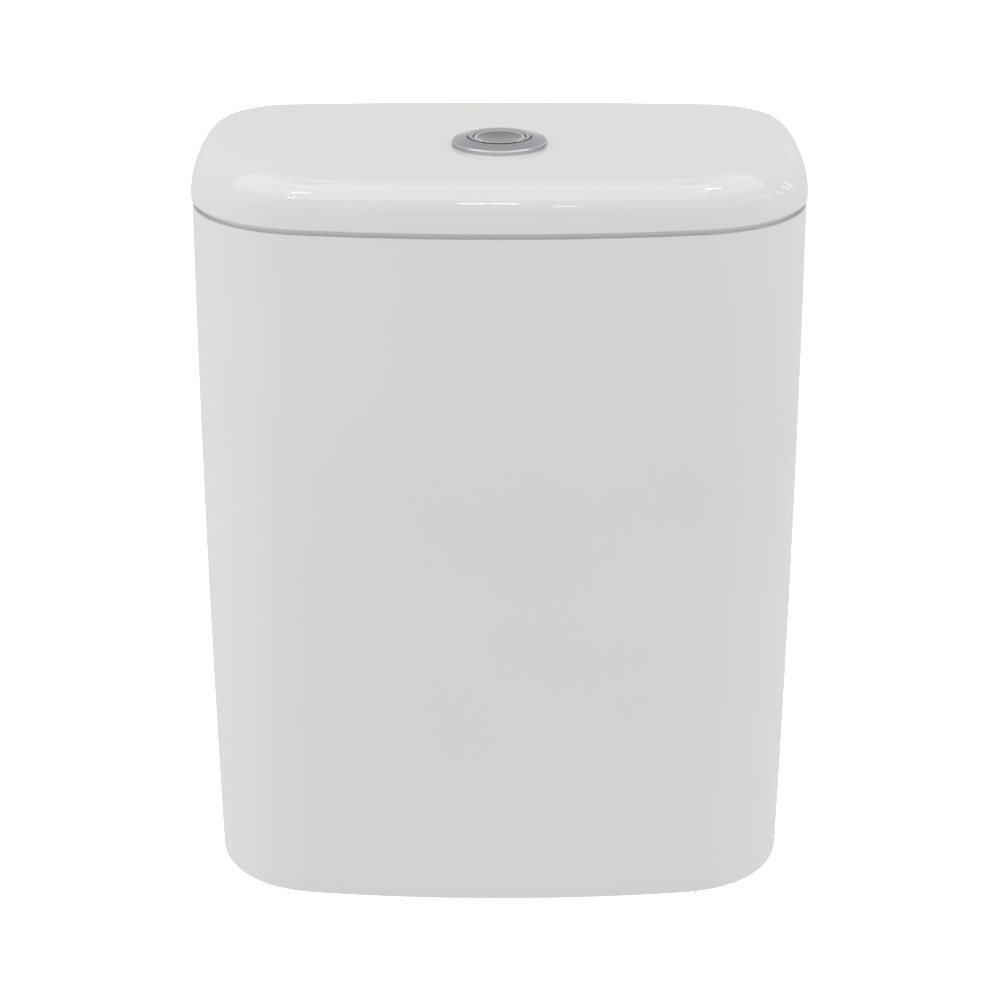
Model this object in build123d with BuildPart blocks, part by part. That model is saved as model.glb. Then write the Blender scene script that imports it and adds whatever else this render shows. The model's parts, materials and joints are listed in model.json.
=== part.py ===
from build123d import *
import os
from math import asin, atan2, cos, degrees, dist, radians, sin

# Close-coupled ceramic cistern with a dual flush button. Millimetres. The origin is on the outlet's axis
# at the tank's underside, +Z is up, -Y is the front and the wall is on the +Y side.

# Overall sizes
width = 360.0
depth = 185.3
tank_height = 418.0
lid_height = 36.8
back_y = 75.0  # the flat back, from the outlet's axis
button_y = -46.0

# Outline seen from above, as arcs that meet smoothly
corner_radius = 77.7
corner_end_from_back = 99.2
side_straight = 12.7
side_radius = 367.2
side_turn = 6.25

# Clearances and shared small sizes
overrun = 2.0
slip = 0.3
fit = 0.05

# Tank shell
wall = 9.5
floor = 12.0
foot_inset = 11.4
straight_taper_share = 0.42
foot_radius = 13.0
inner_foot_radius = 16.0
lid_overhang = 0.7
rim_step_height = 3.0
rim_step_depth = 4.0
back_skim = 0.3
section_shares = (0.0, 0.25, 0.5, 0.75, 1.0)
outlet_hole_radius = 32.5
bolt_spacing = 150.0
bolt_hole_radius = 6.5
fill_x = -112.0
fill_y = 30.0
fill_hole_radius = 12.0
wall_hole_radius = 4.5
wall_hole_spacing = 220.0
wall_hole_z = 352.0

# Lid
lid_crown_steps = ((19.0, 1.8), (28.0, 0.6), (40.0, 0.0))
lid_straight = 4.5
lid_round_across = 19.0
lid_edge_bands = 10
lid_top_wall = 9.0
lid_rim_clearance = 1.8
lid_rim_width = 5.0
lid_rim_height = 7.0
lid_hollow_rounding = 8.0
button_hole_radius = 22.5

# Flush button
bezel_radius = 27.5
bezel_edge_height = 2.6
bezel_inner_height = 4.7
bezel_thickness = 1.4
bezel_edge_chamfer = 0.5
bezel_bore = 18.8
sleeve_radius = 21.4
sleeve_bore = 19.2
sleeve_flange_radius = 24.8
sleeve_flange = 1.2
sleeve_length = 30.0
sleeve_web = 3.0
nut_radius = 29.5
nut_height = 7.0
nut_grip_count = 12
nut_grip_radius = 2.2
key_travel = 7.0
key_disc_radius = 14.9
key_disc_forward = 2.6
key_gap = 0.4
crescent_radius = 18.3
crescent_tip_x = 9.6
key_top_height = 5.2
key_cap = 4.0
key_chamfer = 0.4
dish_depth = 1.5
dish_radius = 13.6
key_arm_below = 10.0
key_arm = 4.0
key_boss_radius = 4.2
rod_x = 8.0
rod_back = 4.0
leg_back = 15.4
leg_width = 8.0
leg_depth = 4.0
rod_radius = 2.5
rod_socket = 6.0
spring_wire = 0.9
spring_wire_sides = 8
spring_radius = 4.7
spring_end_rise = 1.36
spring_turns = 3
spring_seat_gap = 0.05

# Flush valve
tail_radius = 29.8
tail_bore = 25.5
tail_thread = 15.0
tail_length = 26.0
spigot_radius = 28.2
tail_chamfer = 1.0
base_washer = 3.0
base_flange_radius = 43.0
base_flange = 4.0
seat_height = 30.0
seat_rim = 4.0
collar_radius = 36.0
collar_height = 6.0
collar_wall = 2.5
vane_count = 4
vane_thickness = 2.0
backnut_radius = 42.0
backnut_bore = 30.1
backnut_height = 13.0
backnut_lobes = 8
backnut_lobe_radius = 4.5

tower_radius = 40.0
basket_top = 80.0
basket_window_low = 10.0
basket_window_high = 12.0
basket_window_count = 5
basket_window_turn = 48.0
chamber_radius = 30.0
chamber_wall = 2.4
chamber_top = 252.0
chamber_slot_width = 9.0
chamber_slot_margin = 18.0
chamber_slot_count = 4
plate = 3.6
head_radius = 38.0

stem_radius = 11.0
stem_wall = 1.8
stem_top = 316.0
stem_foot_below = 40.0
stem_clearance = 0.9
disc_radius = 28.0
disc_thickness = 3.4
seal_radius = 30.2
seal_thickness = 3.2
seal_lip = 1.2
full_float_low = 138.0
full_float_high = 200.0
full_float_radius = 24.6
float_wall = 1.6
float_collar = 3.0
float_collar_height = 4.0

pin_y = -22.5
pin_z = 303.0
pin_radius = 2.0
push_arm = 19.5
lift_arm = 22.5
rocker_inner_x = 14.6
rocker_thickness = 4.6
rocker_end_radius = 3.0
rocker_hub_radius = 5.6
pad_inner_x = 4.0
ear_gap = 0.6
ear_thickness = 4.0
ear_half_depth = 7.0
lug_front = 0.5
lug_depth = 6.0
lug_thickness = 4.5
catch_y = 39.0
catch_depth = 4.0
catch_tab = 3.4

half_float_low = 150.0
half_float_high = 196.0
half_float_width = 34.0
half_float_depth = 17.0
half_float_travel = 10.0
rail_width = 5.0
rail_depth = 7.0
rail_head_width = 10.0
rail_head = 2.4
rail_stop = 4.0

# Fill valve
inlet_radius = 10.4775
inlet_bore = 6.0
inlet_length = 42.0
inlet_groove = 1.4
inlet_groove_depth = 0.9
fill_washer = 3.5
fill_flange_radius = 18.5
fill_flange = 4.0
fill_body_radius = 13.0
fill_body_top = 64.0
fill_nut_across = 34.0
fill_nut_height = 9.0
riser_radius = 9.8
riser_wall = 2.3
riser_top = 288.0
fill_head_radius = 18.0
fill_head_height = 30.0
outlet_arm_length = 22.0
outlet_arm_radius = 5.0
outlet_arm_bend = 7.0
fill_cap_height = 11.0
fill_cap_chamfer = 2.5
diaphragm_radius = 15.0
diaphragm_thickness = 2.0
lever_pin_x = 6.0
lever_pin_above = 8.5
lever_pin_radius = 1.5
lever_arm = 31.0
lever_width = 7.0
lever_height = 5.0
lever_eye_radius = 3.6
lever_tail = 8.0
lever_cheek = 2.4
float_travel = 12.0
float_radius = 29.0
float_low = 196.0
float_high = 258.0
float_bore_clearance = 1.0
screw_radius = 2.0
screw_head_radius = 5.6
screw_head = 5.0
screw_collar = 1.4
screw_gap = 1.1
screw_lug_radius = 5.0
screw_lug = 7.0

# Bolts to the pan
bolt_radius = 4.0
bolt_end_chamfer = 0.8
bolt_shoulder_radius = 5.0
bolt_head_radius = 10.5
bolt_head = 4.5
bolt_slot = 1.8
bolt_seal = 5.0
bolt_seal_radius = 14.0
bolt_below = 34.0
steel_washer = 1.6
steel_washer_radius = 12.0

lid_top = tank_height + lid_height


def draw_in(share):
    """How far the tank's sides and front lie inside the lid's edge, at a share of the tank's height."""
    down = 1 - share
    taper = straight_taper_share * down + (1 - straight_taper_share) * down**2
    return lid_overhang + foot_inset * taper


def plan_outline(inset, back_inset):
    """The outline seen from above, drawn in by inset at the front and sides and by back_inset at the back."""
    half_width = width / 2 - inset
    front_y = back_y - depth + inset
    corner = corner_radius - inset
    corner_x = half_width - corner
    corner_y = back_y - corner_end_from_back
    reach = corner_y - front_y
    front_radius = (corner_x**2 + reach**2 - corner**2) / (2 * (reach - corner))
    front_turn = atan2(corner_x, front_radius - reach)
    join_x = front_radius * sin(front_turn)
    join_y = front_y + front_radius * (1 - cos(front_turn))
    side = side_radius - inset
    rear_reach = corner_end_from_back - side_straight - back_inset
    rear = (rear_reach - side * sin(radians(side_turn))) / (1 - sin(radians(side_turn)))
    with BuildSketch() as outline:
        with BuildLine():
            front = ThreePointArc((-join_x, join_y), (0, front_y), (join_x, join_y))
            bend = JernArc(front @ 1, front % 1, corner, 90 - degrees(front_turn))
            straight = Line(bend @ 1, (half_width, corner_y + side_straight))
            flank = JernArc(straight @ 1, (0, 1), side, side_turn)
            shoulder = JernArc(flank @ 1, flank % 1, rear, 90 - side_turn)
            end = shoulder @ 1
            mirror([bend, straight, flank, shoulder], about=Plane.YZ)
            Line(end, (-end.X, end.Y))
        make_face()
    return outline.sketch


def turned(points, x=0.0, y=0.0):
    """The face between the vertical through (x, y) and a closed line of (radius, height) points."""
    with BuildSketch(Plane(origin=(x, y, 0), x_dir=(1, 0, 0), z_dir=(0, -1, 0))) as section:
        with BuildLine():
            Polyline(*points, close=True)
        make_face()
    return section.sketch


def upright(x=0.0, y=0.0):
    """The vertical axis through (x, y)."""
    return Axis((x, y, 0), (0, 0, 1))


def ring(outer, inner):
    """A flat ring."""
    with BuildSketch() as face:
        Circle(outer)
        Circle(inner, mode=Mode.SUBTRACT)
    return face.sketch


# Tank: a tapered ceramic shell with a flat back, open at the top
cavity_height = tank_height + overrun - floor
with BuildPart() as tank_cavity:
    for share in section_shares:
        level = floor + cavity_height * share
        with BuildSketch(Plane.XY.offset(level)):
            add(plan_outline(draw_in(min(level / tank_height, 1)) + wall, wall))
    loft(ruled=True)
    fillet(tank_cavity.faces().sort_by(Axis.Z)[0].edges(), inner_foot_radius)

with BuildPart() as tank:
    for share in section_shares:
        with BuildSketch(Plane.XY.offset(tank_height * share)):
            add(plan_outline(draw_in(share), -back_skim))
    loft(ruled=True)
    # The back is cut flat
    with BuildSketch(Plane.XZ.offset(-back_y)):
        Rectangle(2 * width, 4 * tank_height)
    extrude(amount=-overrun, mode=Mode.SUBTRACT)
    fillet(tank.faces().sort_by(Axis.Z)[0].edges(), foot_radius)
    add(tank_cavity.part, mode=Mode.SUBTRACT)
    # The step under the lid's edge, which shows as a dark line
    with BuildSketch(Plane.XY.offset(tank_height - rim_step_height)):
        add(plan_outline(lid_overhang - overrun, 0))
        add(plan_outline(lid_overhang + rim_step_depth, 0), mode=Mode.SUBTRACT)
    extrude(amount=rim_step_height, mode=Mode.SUBTRACT)
    with Locations((0, 0, floor)):
        Hole(outlet_hole_radius, depth=floor)
    with Locations((fill_x, fill_y, floor)):
        Hole(fill_hole_radius, depth=floor)
    with Locations((-bolt_spacing / 2, 0, floor), (bolt_spacing / 2, 0, floor)):
        Hole(bolt_hole_radius, depth=floor)
    with BuildSketch(Plane.XZ.offset(-back_y)):
        with Locations((-wall_hole_spacing / 2, wall_hole_z), (wall_hole_spacing / 2, wall_hole_z)):
            Circle(wall_hole_radius)
    extrude(amount=wall + overrun, mode=Mode.SUBTRACT)
tank.part.label = "tank"


# Lid: level outlines that step in round an elliptical edge and then over a slightly raised middle
lid_edge_top = lid_top - lid_crown_steps[0][1]
lid_edge_height = lid_edge_top - tank_height - lid_straight
lid_levels = [(0, tank_height)]
for band in range(lid_edge_bands):
    turn = radians(90 * band / lid_edge_bands)
    level = tank_height + lid_straight + lid_edge_height * sin(turn)
    lid_levels.append((lid_round_across * (1 - cos(turn)), level))
for inset, below in lid_crown_steps:
    lid_levels.append((inset, lid_top - below))

rim_outer_inset = lid_overhang + wall + lid_rim_clearance
rim_inner_inset = rim_outer_inset + lid_rim_width
hollow_top = lid_top - lid_top_wall
rim_low = tank_height - lid_rim_height
with BuildPart() as lid_hollow:
    with BuildSketch(Plane.XY.offset(rim_low - overrun)):
        add(plan_outline(rim_inner_inset, rim_inner_inset - lid_overhang))
    extrude(amount=hollow_top - rim_low + overrun)
    fillet(lid_hollow.faces().sort_by(Axis.Z)[-1].edges(), lid_hollow_rounding)

with BuildPart() as lid:
    for inset, level in lid_levels:
        with BuildSketch(Plane.XY.offset(level)):
            add(plan_outline(inset, inset))
    loft(ruled=True)
    # The rim under the lid keeps it in the tank's mouth
    with BuildSketch(Plane.XY.offset(rim_low)):
        add(plan_outline(rim_outer_inset, rim_outer_inset - lid_overhang))
    extrude(amount=lid_rim_height)
    add(lid_hollow.part, mode=Mode.SUBTRACT)
    with Locations((0, button_y, lid_top)):
        Hole(button_hole_radius, depth=lid_height)
lid.part.label = "lid"


# Flush button: a chrome bezel on a threaded plastic sleeve, with two keys in it
bezel_top = lid_top + bezel_inner_height
with BuildPart() as button_bezel:
    revolve(
        turned(
            [
                (bezel_radius, lid_top),
                (bezel_radius, lid_top + bezel_edge_height - bezel_edge_chamfer),
                (bezel_radius - bezel_edge_chamfer, lid_top + bezel_edge_height + bezel_edge_chamfer / 4),
                (bezel_bore, bezel_top),
                (bezel_bore, bezel_top - bezel_thickness - sleeve_flange),
                (sleeve_flange_radius + slip, lid_top + sleeve_flange + fit),
                (sleeve_flange_radius + slip, lid_top),
            ],
            0,
            button_y,
        ),
        upright(0, button_y),
    )
button_bezel.part.label = "button_bezel"

sleeve_low = lid_top - sleeve_length
sleeve_floor = sleeve_low + sleeve_web
rod_y = button_y + rod_back
with BuildPart() as button_sleeve:
    with BuildSketch(Plane.XY.offset(sleeve_low)):
        with Locations((0, button_y)):
            Circle(sleeve_radius)
    extrude(amount=sleeve_length + sleeve_flange)
    with BuildSketch(Plane.XY.offset(lid_top)):
        with Locations((0, button_y)):
            Circle(sleeve_flange_radius)
    extrude(amount=sleeve_flange)
    with Locations((0, button_y, lid_top + sleeve_flange)):
        Hole(sleeve_bore, depth=sleeve_length + sleeve_flange - sleeve_web)
    with Locations((-rod_x, rod_y, sleeve_floor), (rod_x, rod_y, sleeve_floor)):
        Hole(rod_radius + slip, depth=sleeve_web)
    # Slots let water that gets past the keys drain into the tank
    with BuildSketch(Plane.XY.offset(sleeve_low)):
        with Locations((0, button_y - sleeve_bore / 2)):
            SlotOverall(sleeve_bore, rod_radius * 2)
    extrude(amount=sleeve_web, mode=Mode.SUBTRACT)
button_sleeve.part.label = "button_sleeve"

nut_top = hollow_top - fit
with BuildPart() as sleeve_nut:
    with BuildSketch(Plane.XY.offset(nut_top - nut_height)):
        with Locations((0, button_y)):
            add(ring(nut_radius, sleeve_radius + slip))
            with PolarLocations(nut_radius, nut_grip_count):
                Circle(nut_grip_radius, mode=Mode.SUBTRACT)
    extrude(amount=nut_height)
sleeve_nut.part.label = "sleeve_nut"

key_top = lid_top + key_top_height
key_low = key_top - key_cap
arm_top = lid_top - key_arm_below
arm_low = arm_top - key_arm
disc_y = button_y - key_disc_forward
dish_sphere = (dish_radius**2 + dish_depth**2) / (2 * dish_depth)
with BuildPart() as full_flush_key:
    with BuildSketch(Plane.XY.offset(key_low)):
        with Locations((0, disc_y)):
            Circle(key_disc_radius)
    extrude(amount=key_cap)
    chamfer(full_flush_key.faces().sort_by(Axis.Z)[-1].edges(), key_chamfer)
    with Locations((0, disc_y, key_top - dish_depth + dish_sphere)):
        Sphere(dish_sphere, mode=Mode.SUBTRACT)
    with BuildSketch(Plane.XY.offset(arm_low)):
        with Locations((-rod_x, rod_y)):
            Circle(key_boss_radius)
    extrude(amount=key_low - arm_low)
    with BuildSketch(Plane.XY.offset(arm_low)):
        with Locations((-rod_x, rod_y)):
            Circle(rod_radius)
    extrude(amount=rod_socket, mode=Mode.SUBTRACT)
full_flush_key.part.label = "full_flush_key"

leg_y = button_y + leg_back
with BuildPart() as half_flush_key:
    with BuildSketch(Plane.XY.offset(key_low)):
        with Locations((0, button_y)):
            Circle(crescent_radius)
        with Locations((0, disc_y)):
            Circle(key_disc_radius + key_gap, mode=Mode.SUBTRACT)
        with Locations((0, button_y - crescent_radius)):
            Rectangle(crescent_tip_x * 2, crescent_radius, mode=Mode.SUBTRACT)
    extrude(amount=key_cap)
    with BuildSketch(Plane.XY.offset(arm_low)):
        with Locations((0, leg_y)):
            Rectangle(leg_width, leg_depth)
    extrude(amount=key_low - arm_low)
    with BuildSketch(Plane.XY.offset(arm_low)):
        with BuildLine():
            Polyline((-leg_width / 2, leg_y), (leg_width / 2, leg_y), (rod_x + key_boss_radius, rod_y),
                     (rod_x - key_boss_radius, rod_y), close=True)
        make_face()
        with Locations((rod_x, rod_y)):
            Circle(key_boss_radius)
            Circle(rod_radius, mode=Mode.SUBTRACT)
    extrude(amount=key_arm)
half_flush_key.part.label = "half_flush_key"


# Key springs: one closed turn at each end, then open turns between them
spring_low = sleeve_floor + spring_wire / 2 + spring_seat_gap
spring_high = arm_low - spring_wire / 2 - spring_seat_gap
open_rise = (spring_high - spring_low - 2 * spring_end_rise) / spring_turns


def spring_route(x):
    """Half-turn points of the spring's centre line, from the bottom up."""
    rises = [spring_end_rise / 2] * 2 + [open_rise / 2] * (2 * spring_turns) + [spring_end_rise / 2] * 2
    z = spring_low
    side = 1
    points = [(x + spring_radius, rod_y, z)]
    for rise in rises:
        points.append((x, rod_y + side * spring_radius, z + rise / 2))
        z += rise
        side = -side
        points.append((x + side * spring_radius, rod_y, z))
    return points


def print_least_gap(name, points):
    """Print the least gap between neighbouring turns, from points on the centre line."""
    spots = []
    for start, middle in zip(points[0::2], points[1::2]):
        spots += [start, middle]
    spots.append(points[-1])
    a_turn = 4
    gaps = [dist(a, b) - spring_wire for a, b in zip(spots, spots[a_turn:])]
    print(name, "least gap between turns", round(min(gaps), 3))


def spring_solid(x):
    """One unbroken tube along the spring's half turns."""
    points = spring_route(x)
    with BuildPart() as coil:
        with BuildLine():
            for start, middle, end in zip(points[0::2], points[1::2], points[2::2]):
                ThreePointArc(start, middle, end)
        with BuildSketch(Plane(origin=points[0], x_dir=(1, 0, 0), z_dir=(0, 1, 0))):
            RegularPolygon(spring_wire / 2, spring_wire_sides)
        sweep()
    return coil.part


with BuildPart() as full_key_spring:
    add(spring_solid(-rod_x))
full_key_spring.part.label = "full_key_spring"

with BuildPart() as half_key_spring:
    add(spring_solid(rod_x))
half_key_spring.part.label = "half_key_spring"
print_least_gap("full_key_spring", spring_route(-rod_x))
print_least_gap("half_key_spring", spring_route(rod_x))


# Push rods: from each key down to its rocker
rocker_tilt = degrees(asin(key_travel / 2 / push_arm))
pad_top = pin_z + push_arm * sin(radians(rocker_tilt)) + rocker_end_radius
rod_low = pad_top + slip
stem_lift = 2 * lift_arm * sin(radians(rocker_tilt))
rod_high = arm_low + rod_socket - slip


def rod_solid(x, high):
    """A push rod with a rounded foot."""
    with BuildPart() as rod:
        with BuildSketch(Plane.XY.offset(rod_low)):
            with Locations((x, rod_y)):
                Circle(rod_radius - fit)
        extrude(amount=high - rod_low)
        fillet(rod.faces().sort_by(Axis.Z)[0].edges(), rod_radius / 2)
    return rod.part


with BuildPart() as full_push_rod:
    add(rod_solid(-rod_x, rod_high))
full_push_rod.part.label = "full_push_rod"

with BuildPart() as half_push_rod:
    add(rod_solid(rod_x, arm_top))
half_push_rod.part.label = "half_push_rod"


# Flush valve base: the threaded tail through the tank's floor, with the seat and the tower's collar
flange_low = floor + base_washer
flange_top = flange_low + base_flange
with BuildPart() as valve_base:
    revolve(
        turned(
            [
                (tail_bore, -tail_length),
                (spigot_radius - tail_chamfer, -tail_length),
                (spigot_radius, -tail_length + tail_chamfer),
                (spigot_radius, -tail_thread),
                (tail_radius - tail_chamfer, -tail_thread),
                (tail_radius, -tail_thread + tail_chamfer),
                (tail_radius, flange_low),
                (base_flange_radius, flange_low),
                (base_flange_radius, flange_top),
                (collar_radius, flange_top),
                (collar_radius, flange_top + collar_height),
                (collar_radius - collar_wall, flange_top + collar_height),
                (collar_radius - collar_wall, flange_top),
                (tail_bore + seat_rim, flange_top),
                (tail_bore + seat_rim / 2, seat_height),
                (tail_bore, seat_height),
            ]
        ),
        Axis.Z,
    )
    # Vanes across the bore guide the stem
    with BuildSketch(Plane.XY.offset(-tail_thread)):
        with PolarLocations((tail_bore + stem_radius + stem_clearance) / 2, vane_count, start_angle=45):
            Rectangle(tail_bore - stem_radius - stem_clearance + fit, vane_thickness)
    extrude(amount=tail_thread)
valve_base.part.label = "valve_base"

with BuildPart() as base_washer_ring:
    with BuildSketch(Plane.XY.offset(floor)):
        add(ring(base_flange_radius, tail_radius + slip))
    extrude(amount=base_washer)
base_washer_ring.part.label = "valve_base_washer"

with BuildPart() as valve_backnut:
    with BuildSketch(Plane.XY.offset(-backnut_height)):
        add(ring(backnut_radius - backnut_lobe_radius, backnut_bore))
        with PolarLocations(backnut_radius - backnut_lobe_radius, backnut_lobes):
            Circle(backnut_lobe_radius)
        Circle(backnut_bore, mode=Mode.SUBTRACT)
    extrude(amount=backnut_height)
valve_backnut.part.label = "valve_backnut"

chamber_low = basket_top + plate
rail_y = chamber_radius - chamber_wall / 2
rail_end_y = chamber_radius + rail_depth
half_float_inner_y = chamber_radius + 2 * slip


def rail_shape(gap):
    """The T of the half flush float's rail seen from above, grown by gap."""
    with BuildSketch() as shape:
        with Locations((0, (rail_y + rail_end_y) / 2)):
            Rectangle(rail_width + 2 * gap, rail_end_y - rail_y + 2 * gap)
        with Locations((0, rail_end_y - rail_head / 2)):
            Rectangle(rail_head_width + 2 * gap, rail_head + 2 * gap)
    return shape.sketch


# Flush valve tower: an open basket, a float chamber above it and two ears for the rockers
head_top = chamber_top + plate
ear_inner_x = rocker_inner_x + rocker_thickness + ear_gap
rail_top = half_float_high + half_float_travel
catch_x = rocker_inner_x + rocker_thickness / 2
tab_back_y = catch_y + catch_depth / 2 + catch_tab
with BuildPart() as valve_tower:
    with BuildSketch(Plane.XY.offset(flange_top)):
        add(ring(tower_radius, collar_radius + slip))
    extrude(amount=basket_top - flange_top)
    with BuildSketch(Plane.XY.offset(basket_top)):
        add(ring(tower_radius, stem_radius + stem_clearance))
    extrude(amount=plate)
    with BuildSketch(Plane.XY.offset(chamber_low)):
        add(ring(chamber_radius, chamber_radius - chamber_wall))
    extrude(amount=chamber_top - chamber_low)
    with BuildSketch(Plane.XY.offset(chamber_top)):
        add(ring(head_radius, stem_radius + stem_clearance))
        # A holed tab at the back guides the half flush catch
        with Locations((catch_x, (head_radius / 2 + tab_back_y) / 2)):
            Rectangle(rocker_thickness + 2 * catch_tab, tab_back_y - head_radius / 2)
        with Locations((catch_x, catch_y)):
            Rectangle(rocker_thickness + 2 * slip, catch_depth + 2 * slip, mode=Mode.SUBTRACT)
    extrude(amount=plate)
    # Windows round the basket let the water out
    window_low = flange_top + basket_window_low
    window_high = basket_top - basket_window_high
    window_width = 2 * tower_radius * sin(radians(basket_window_turn / 2))
    with BuildSketch(Plane.XY.offset(window_low)):
        with PolarLocations(tower_radius, basket_window_count, start_angle=90):
            Rectangle(tower_radius, window_width)
    extrude(amount=window_high - window_low, mode=Mode.SUBTRACT)
    # Slots let water into the chamber
    with BuildSketch(Plane.XY.offset(chamber_low + chamber_slot_margin)):
        with PolarLocations(chamber_radius, chamber_slot_count, start_angle=45):
            Rectangle(chamber_radius, chamber_slot_width)
    extrude(amount=chamber_top - chamber_low - 2 * chamber_slot_margin, mode=Mode.SUBTRACT)
    # Rail and stop for the half flush float
    with BuildSketch(Plane.XY.offset(chamber_low)):
        add(rail_shape(0))
    extrude(amount=rail_top - chamber_low)
    with BuildSketch(Plane.XY.offset(half_float_low - rail_stop)):
        with Locations((0, (rail_y + half_float_inner_y + half_float_depth / 2) / 2)):
            Rectangle(rail_width, half_float_inner_y + half_float_depth / 2 - rail_y)
    extrude(amount=rail_stop - slip)
    # Ears that hold the rocker pin
    for side in (-1, 1):
        ear_x = side * (ear_inner_x + ear_thickness / 2)
        with BuildSketch(Plane.YZ.offset(ear_x)):
            with Locations((pin_y, (head_top - plate + pin_z) / 2)):
                Rectangle(ear_half_depth * 2, pin_z - head_top + plate)
            with Locations((pin_y, pin_z)):
                Circle(ear_half_depth)
                Circle(pin_radius, mode=Mode.SUBTRACT)
        extrude(amount=ear_thickness / 2, both=True)
valve_tower.part.label = "valve_tower"

with BuildPart() as rocker_pin:
    with BuildSketch(Plane.YZ.offset(-ear_inner_x - ear_thickness)):
        with Locations((pin_y, pin_z)):
            Circle(pin_radius - fit)
    extrude(amount=2 * (ear_inner_x + ear_thickness))
rocker_pin.part.label = "rocker_pin"


# Stem: the overflow tube, with the seal's disc at its foot and a lug over the full flush rocker
stem_low = seat_height - stem_foot_below
disc_low = seat_height + seal_thickness
lug_low = pin_z - lift_arm * sin(radians(rocker_tilt)) + rocker_end_radius + slip
with BuildPart() as valve_stem:
    revolve(
        turned(
            [
                (stem_radius - stem_wall, stem_low),
                (stem_radius, stem_low),
                (stem_radius, disc_low),
                (disc_radius, disc_low),
                (disc_radius, disc_low + disc_thickness),
                (stem_radius, disc_low + disc_thickness + stem_radius / 2),
                (stem_radius, full_float_low - float_collar_height),
                (stem_radius + float_collar, full_float_low - float_collar_height),
                (stem_radius + float_collar, full_float_low),
                (stem_radius, full_float_low),
                (stem_radius, stem_top),
                (stem_radius - stem_wall, stem_top),
            ]
        ),
        Axis.Z,
    )
    with BuildSketch(Plane.XY.offset(lug_low)):
        with Locations((-(rocker_inner_x + rocker_thickness) / 2, lug_front + lug_depth / 2)):
            Rectangle(rocker_inner_x + rocker_thickness, lug_depth)
        Circle(stem_radius - fit, mode=Mode.SUBTRACT)
    extrude(amount=lug_thickness)
valve_stem.part.label = "valve_stem"

with BuildPart() as flush_seal:
    revolve(
        turned(
            [
                (stem_radius + fit, seat_height),
                (seal_radius - seal_lip, seat_height),
                (seal_radius, seat_height + seal_lip),
                (seal_radius, disc_low),
                (stem_radius + fit, disc_low),
            ]
        ),
        Axis.Z,
    )
flush_seal.part.label = "flush_seal"

with BuildPart() as full_float:
    revolve(
        turned(
            [
                (stem_radius + fit, full_float_low),
                (stem_radius + fit, full_float_high),
                (full_float_radius, full_float_high),
                (full_float_radius, full_float_low),
                (full_float_radius - float_wall, full_float_low),
                (full_float_radius - float_wall, full_float_high - float_wall),
                (stem_radius + float_wall, full_float_high - float_wall),
                (stem_radius + float_wall, full_float_low),
            ]
        ),
        Axis.Z,
    )
full_float.part.label = "full_float"

# Half flush float: a cup that slides on the rail behind the chamber
half_float_y = half_float_inner_y + half_float_depth / 2
air_depth = half_float_inner_y + half_float_depth - rail_end_y - 2 * float_wall - slip
with BuildPart() as half_float:
    with BuildSketch(Plane.XY.offset(half_float_low)):
        with Locations((0, half_float_y)):
            RectangleRounded(half_float_width, half_float_depth, half_float_depth / 4)
        add(rail_shape(slip), mode=Mode.SUBTRACT)
    extrude(amount=half_float_high - half_float_low)
    with BuildSketch(Plane.XY.offset(half_float_low)):
        with Locations((0, (rail_end_y + half_float_inner_y + half_float_depth) / 2)):
            Rectangle(half_float_width - 2 * float_wall, air_depth)
    extrude(amount=half_float_high - half_float_low - float_wall, mode=Mode.SUBTRACT)
half_float.part.label = "half_float"

# Half flush catch: it rests over the half flush rocker, and its leg holds the half flush float down
catch_low = rail_top + 2 * slip
catch_back_y = catch_y + catch_depth / 2
with BuildPart() as half_catch:
    with BuildSketch(Plane.YZ.offset(catch_x)):
        with BuildLine():
            Polyline(
                (lug_front, lug_low),
                (lug_front, lug_low + lug_thickness),
                (catch_back_y, lug_low + lug_thickness),
                (catch_back_y, catch_low),
                (catch_back_y - catch_depth, catch_low),
                (catch_back_y - catch_depth, lug_low),
                close=True,
            )
        make_face()
    extrude(amount=rocker_thickness / 2, both=True)
half_catch.part.label = "half_catch"


# Rockers: each key's rod pushes a pad at the front, and the far end lifts the stem or the catch
def rocker_solid(side):
    """A rocker on the left (-1) or right (1) of the stem, tilted as it rests."""
    tilt = radians(rocker_tilt)
    front = (pin_y - push_arm * cos(tilt), pin_z + push_arm * sin(tilt))
    rear = (pin_y + lift_arm * cos(tilt), pin_z - lift_arm * sin(tilt))
    middle_x = side * (rocker_inner_x + rocker_thickness / 2)
    pad_x = side * (rocker_inner_x + pad_inner_x) / 2
    with BuildPart() as rocker:
        for end in (front, rear):
            with BuildSketch(Plane.YZ.offset(middle_x)):
                with Locations((pin_y, pin_z)):
                    Circle(rocker_hub_radius)
                with Locations(end):
                    Circle(rocker_end_radius)
                make_hull()
            extrude(amount=rocker_thickness / 2, both=True)
        with BuildSketch(Plane.YZ.offset(pad_x)):
            with Locations(front):
                Circle(rocker_end_radius)
        extrude(amount=(rocker_inner_x - pad_inner_x) / 2, both=True)
        with BuildSketch(Plane.YZ.offset(middle_x)):
            with Locations((pin_y, pin_z)):
                Circle(pin_radius + fit)
        extrude(amount=rocker_thickness, both=True, mode=Mode.SUBTRACT)
    return rocker.part


with BuildPart() as full_rocker:
    add(rocker_solid(-1))
full_rocker.part.label = "full_rocker"

with BuildPart() as half_rocker:
    add(rocker_solid(1))
half_rocker.part.label = "half_rocker"


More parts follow.
